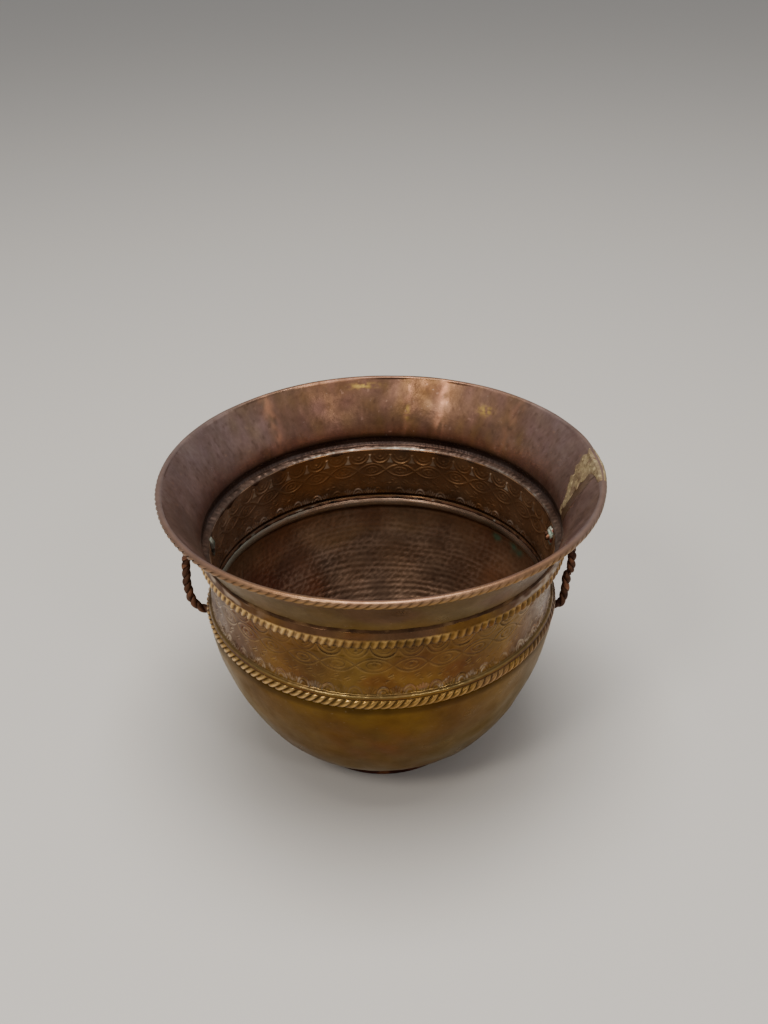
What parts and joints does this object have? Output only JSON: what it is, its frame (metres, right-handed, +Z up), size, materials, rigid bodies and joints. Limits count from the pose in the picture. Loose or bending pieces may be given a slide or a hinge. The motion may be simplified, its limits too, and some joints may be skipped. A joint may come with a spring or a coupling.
{
  "type": "planter pot",
  "caption": "Round sheet-metal planter pot with a flared collar, an embossed band between roped beads, a rounded bowl on a low foot ring, and twisted wire handles.",
  "frame": {"origin": "on the floor under the pot's axis", "axes": "+Z up along the pot's axis; the handles stand at -X (left) and +X (right), and the front faces -Y"},
  "size_m": [0.3344, 0.3344, 0.2415],
  "materials": {
    "copper_collar": "worn, patinated",
    "rim_core": "dull",
    "seam_braze": "rough, dull",
    "embossed_brass": "patinated, satin",
    "bowl_brass": "patinated, satin",
    "foot_copper": "dark, dull",
    "handle_wire": "dark, dull",
    "soft_solder": "dull"
  },
  "bodies": {
    "root": {"collar": "copper_collar", "rim_wire": "rim_core", "collar_seam_braze": "seam_braze", "collar_solder": "seam_braze", "band": "embossed_brass", "band_solder": "soft_solder", "bowl": "bowl_brass", "foot_ring": "foot_copper", "foot_solder": "soft_solder", "left_handle_strand_a": "handle_wire", "left_handle_strand_b": "handle_wire", "left_handle_solder": "soft_solder", "right_handle_strand_a": "handle_wire", "right_handle_strand_b": "handle_wire", "right_handle_solder": "soft_solder"}
  },
  "joints": []
}
